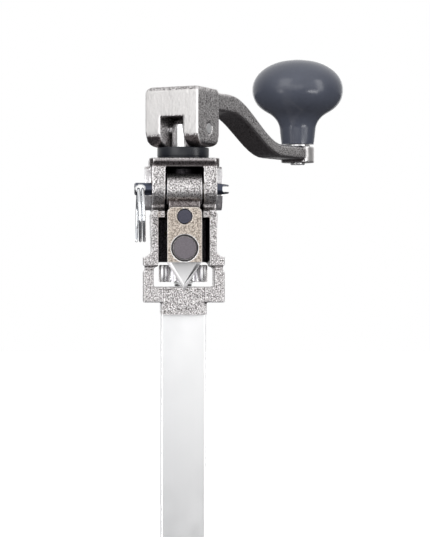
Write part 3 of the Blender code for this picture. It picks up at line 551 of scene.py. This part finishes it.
def build_knife(looks):
    bm = node_bmesh("knife")
    obj = plain_object("knife_blade", bm)
    bevel = obj.modifiers.new("edges", "BEVEL")
    bevel.width = 0.12 * MM
    bevel.segments = 2
    bevel.angle_limit = math.radians(30)
    bake_modifiers(obj)
    finish_piece(obj, "knife", looks["tool_steel"], looks["ground_edge_painted_highlight"], angle=20)
    # Bevel faces that look down get the near-white steel: a ground edge, and a painted highlight.
    paint_faces(obj, 1, lambda centre, normal: normal.z < -0.2 and normal.y < 0.2)


def build_pin(looks):
    obj = recast("release_pin", "quick_release_pin", 0.22 * MM, 2)
    finish_piece(obj, "quick_release_pin", looks["dark_steel"])


def build_ring(looks):
    """Two turns of round wire, with a slight lead, hanging in the pin's eye."""
    low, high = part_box("split_ring")
    wire_radius = 0.9 * MM
    radius = (high.y - low.y) / 2 - 0.85 * MM
    pitch, turns, steps = 2.2 * MM, 2, 144
    path = []
    for step in range(steps + 1):
        turn = turns * step / steps
        angle = math.tau * turn
        lead = pitch * (turn - turns / 2)
        path.append(RING_EYE + Vector((lead, radius * math.sin(angle), -radius - radius * math.cos(angle))))
    finish_piece(plain_object("key_ring", wire(path, wire_radius)), "split_ring", looks["zinc"], angle=60)


def build_spring(looks):
    low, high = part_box("arbor_spring")
    wire_radius = 0.7 * MM
    radius = (high.x - low.x) / 2 - wire_radius
    turns, steps = 3, 150
    path = []
    for step in range(steps + 1):
        angle = math.tau * turns * step / steps
        height = low.z + wire_radius + (high.z - low.z - 2 * wire_radius) * step / steps
        path.append(Vector((radius * math.cos(angle), radius * math.sin(angle), height)))
    obj = plain_object("coil_spring", wire(path, wire_radius, sides=10))
    finish_piece(obj, "arbor_spring", looks["turned"], angle=60)


CARRIED = {
    "bar": "stainless",
    "bar_screw_upper": "dark_steel",
    "bar_screw_lower": "dark_steel",
    "lift_sleeve": "bronze",
    "arbor": "turned",
    "arbor_retainer": "dark_steel",
    "gear_washer": "zinc",
    "gear_screw": "dark_steel",
    "handle_pin": "turned",
    "knob_stud": "turned",
    "knob_washer": "turned",
    "knob_bush": "bronze",
    "knob_cap": "knob",
    "knife_screw": "disc_steel",
    "knife_dowel": "dowel_steel",
    "hinge_bush_left": "bronze",
    "hinge_bush_right": "bronze",
}


def dress_carried_nodes(looks):
    """CAD nodes whose shape is right: a finished material and a fine edge break."""
    for node, look in CARRIED.items():
        obj = frame["nodes"][node]
        for material_slot in obj.material_slots:
            material_slot.material = looks[look]
        weld = obj.modifiers.new("weld", "WELD")
        weld.merge_threshold = MERGE_DISTANCE
        bevel = obj.modifiers.new("edge_break", "BEVEL")
        bevel.width = 0.15 * MM
        bevel.segments = 2
        bevel.angle_limit = math.radians(40)
        bevel.harden_normals = True


# ---------------------------------------------------------------- stage
def build_stage():
    """A pale paper floor; in reflections it is grey, so undersides keep their depth."""
    floor_radius = 9.0
    bpy.ops.mesh.primitive_circle_add(vertices=96, radius=floor_radius, fill_type="NGON")
    floor = bpy.context.object
    floor.name = "floor"
    paper = Graph("pale_paper", (0.96, 0.96, 0.965), 0.0, 0.9)
    paper.shader.inputs["Emission Color"].default_value = (*WHITE, 1.0)
    paper.shader.inputs["Emission Strength"].default_value = FLOOR_GLOW
    shade = paper.nodes.new("ShaderNodeBsdfDiffuse")
    shade.inputs["Color"].default_value = (*FLOOR_SHADE, 1.0)
    chooser = paper.nodes.new("ShaderNodeMixShader")
    ray = paper.nodes.new("ShaderNodeLightPath")
    output = paper.nodes["Material Output"]
    paper.links.new(ray.outputs["Is Camera Ray"], chooser.inputs["Fac"])
    paper.links.new(shade.outputs["BSDF"], chooser.inputs[1])
    paper.links.new(paper.shader.outputs["BSDF"], chooser.inputs[2])
    paper.links.new(chooser.outputs["Shader"], output.inputs["Surface"])
    floor.data.materials.append(paper.material)


def add_softbox(name, place, target, size, power):
    light = bpy.data.lights.new(name, "AREA")
    light.shape = "RECTANGLE"
    light.size, light.size_y = size
    light.energy = power
    obj = bpy.data.objects.new(name, light)
    obj.location = place
    obj.rotation_euler = (Vector(target) - Vector(place)).to_track_quat("-Z", "Y").to_euler()
    bpy.context.collection.objects.link(obj)


def build_world():
    """White to the camera; in reflections bright from front, back and above, and dark from the sides."""
    world = bpy.data.worlds.new("studio")
    bpy.context.scene.world = world
    world.use_nodes = True
    nodes, links = world.node_tree.nodes, world.node_tree.links
    place = nodes.new("ShaderNodeTexCoord")
    split = nodes.new("ShaderNodeSeparateXYZ")
    links.new(place.outputs["Generated"], split.inputs["Vector"])

    def math_node(operation, first, second=None, clamp=False):
        node = nodes.new("ShaderNodeMath")
        node.operation = operation
        node.use_clamp = clamp
        for socket, value in zip(node.inputs, (first, second)):
            if isinstance(value, float):
                socket.default_value = value
            elif value is not None:
                links.new(value, socket)
        return node.outputs["Value"]

    depth = math_node("POWER", math_node("ABSOLUTE", split.outputs["Y"]), WORLD_FALLOFF)
    height = math_node("MULTIPLY", split.outputs["Z"], WORLD_TOP, clamp=True)
    glow = math_node("ADD", math_node("MULTIPLY", depth, WORLD_BRIGHT), height)
    strength = math_node("ADD", math_node("MINIMUM", glow, WORLD_BRIGHT), WORLD_DARK)
    ray = nodes.new("ShaderNodeLightPath")
    seen = math_node("MAXIMUM", ray.outputs["Is Camera Ray"], strength)
    links.new(seen, nodes["Background"].inputs["Strength"])
    nodes["Background"].inputs["Color"].default_value = (*WHITE, 1.0)


def build_light():
    build_world()
    head = (0.0, 0.0, CAMERA_HEIGHT + 0.05)
    add_softbox("front", (-1.0, -2.0, 0.4), head, (3.2, 1.3), 11.5)
    add_softbox("back", (0.3, 2.4, 0.5), head, (2.2, 1.2), 6.0)
    add_softbox("key", (-0.75, -0.9, 1.15), head, (0.7, 0.9), 3.5)
    add_softbox("fill", (1.0, -0.6, 0.75), head, (0.35, 1.0), 3.0)
    add_softbox("low_left", (-0.8, -0.95, 0.13), head, (0.6, 0.25), 3.0)
    add_softbox("low_right", (0.8, -0.95, 0.13), head, (0.6, 0.25), 3.0)
    bpy.context.scene.view_settings.view_transform = "Standard"


def build_camera():
    data = bpy.data.cameras.new("camera")
    data.lens = LENS
    data.sensor_width = 36.0
    data.clip_end = 50.0
    camera = bpy.data.objects.new("camera", data)
    back = Vector((math.sin(CAMERA_YAW), -math.cos(CAMERA_YAW), 0.0))
    right = Vector((math.cos(CAMERA_YAW), math.sin(CAMERA_YAW), 0.0))
    camera.location = back * CAMERA_DISTANCE + right * CAMERA_SIDE + Vector((0, 0, CAMERA_HEIGHT))
    camera.rotation_euler = (math.pi / 2, 0.0, CAMERA_YAW)
    bpy.context.collection.objects.link(camera)
    bpy.context.scene.camera = camera


def main():
    looks = make_materials()
    build_camera()
    build_light()
    build_stage()
    build_casting(looks)
    build_handle(looks)
    build_holder(looks)
    build_knob(looks)
    build_collar(looks)
    build_gear(looks)
    build_knife(looks)
    build_pin(looks)
    build_ring(looks)
    build_spring(looks)
    dress_carried_nodes(looks)


main()
